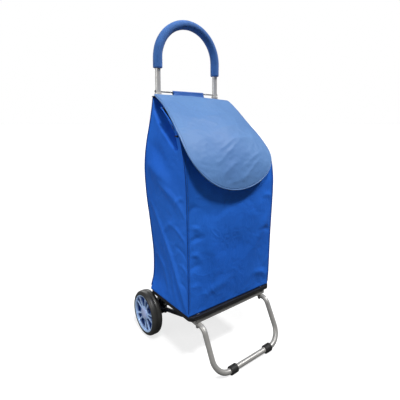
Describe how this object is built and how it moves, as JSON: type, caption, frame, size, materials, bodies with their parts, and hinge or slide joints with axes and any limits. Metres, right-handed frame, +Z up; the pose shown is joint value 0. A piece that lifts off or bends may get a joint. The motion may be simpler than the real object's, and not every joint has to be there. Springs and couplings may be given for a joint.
{
  "type": "shopping trolley on wheels",
  "caption": "Folding shopping trolley: bent tube frame with a foam grip, fabric bag with a flap, fold-up base with a tube leg, and wheels.",
  "frame": {"origin": "on the floor, under the middle of the object's box", "axes": "+X to the left seen from the front, along the axle; -Y towards the front of the bag; +Z up"},
  "size_m": [0.345, 0.363, 0.958],
  "materials": {
    "silver_tube": "satin silver powder coat",
    "foam_grip": "closed-cell foam",
    "zinc_steel": "zinc plated",
    "black_plastic": "moulded",
    "black_steel": "black paint",
    "black_rubber": "moulded rubber",
    "wheel_plastic": "moulded",
    "cap_plastic": "moulded",
    "nylon": "natural",
    "tyre_grey": "smooth",
    "platform_plastic": "moulded",
    "grey_steel": "grey paint",
    "bag_fabric": "coated polyester",
    "flap_fabric": "coated polyester",
    "board": "hollow board"
  },
  "bodies": {
    "root": {"frame_tube": "silver_tube", "handle_grip": "foam_grip", "crossbar": "zinc_steel", "collar_left": "black_plastic", "collar_right": "black_plastic", "axle": "zinc_steel", "axle_bracket_left": "black_plastic", "axle_bracket_right": "black_plastic", "support_arm_left": "black_steel", "support_arm_right": "black_steel", "arm_rivets": "zinc_steel", "rest_pad_left": "black_rubber", "rest_pad_right": "black_rubber", "hinge_bracket_left": "black_plastic", "hinge_bracket_right": "black_plastic", "hinge_pins": "zinc_steel", "axle_washers": "zinc_steel", "push_nuts": "zinc_steel", "bag_front": "bag_fabric", "bag_back": "bag_fabric", "bag_side_left": "bag_fabric", "bag_side_right": "bag_fabric", "bag_bottom": "bag_fabric", "bottom_board": "board", "mouth_rod": "black_plastic", "back_rod": "black_plastic", "hanging_loop": "bag_fabric"},
    "base": {"platform": "platform_plastic", "front_rail": "grey_steel", "rear_rail": "grey_steel", "leg_loop": "silver_tube", "foot_left": "black_rubber", "foot_right": "black_rubber", "tube_plugs": "black_plastic", "base_bolts": "zinc_steel", "base_nuts": "zinc_steel"},
    "wheel_left": {"wheel_rim_left": "wheel_plastic", "wheel_bush_left": "nylon", "tyre_left": "tyre_grey", "hub_cap_left": "cap_plastic"},
    "wheel_right": {"wheel_rim_right": "wheel_plastic", "wheel_bush_right": "nylon", "tyre_right": "tyre_grey", "hub_cap_right": "cap_plastic"},
    "flap": {"flap": "flap_fabric"}
  },
  "joints": [
    {"name": "base_fold", "type": "hinge", "parent": "root", "child": "base", "pos_m": [0, 0.08998, 0.141], "axis": [1, 0, 0], "range_deg": [-88, 0], "deforming": ["bag_front", "bag_side_left", "bag_side_right", "bag_bottom", "bottom_board", "mouth_rod", "back_rod"]},
    {"name": "flap_lift", "type": "hinge", "parent": "root", "child": "flap", "pos_m": [0, 0.09998, 0.7265], "axis": [-1, 0, 0], "range_deg": [0, 110]},
    {"name": "wheel_left_spin", "type": "hinge", "parent": "root", "child": "wheel_left", "pos_m": [-0.156, 0.11553, 0.066], "axis": [1, 0, 0], "continuous": true},
    {"name": "wheel_right_spin", "type": "hinge", "parent": "root", "child": "wheel_right", "pos_m": [0.156, 0.11553, 0.066], "axis": [1, 0, 0], "continuous": true}
  ]
}
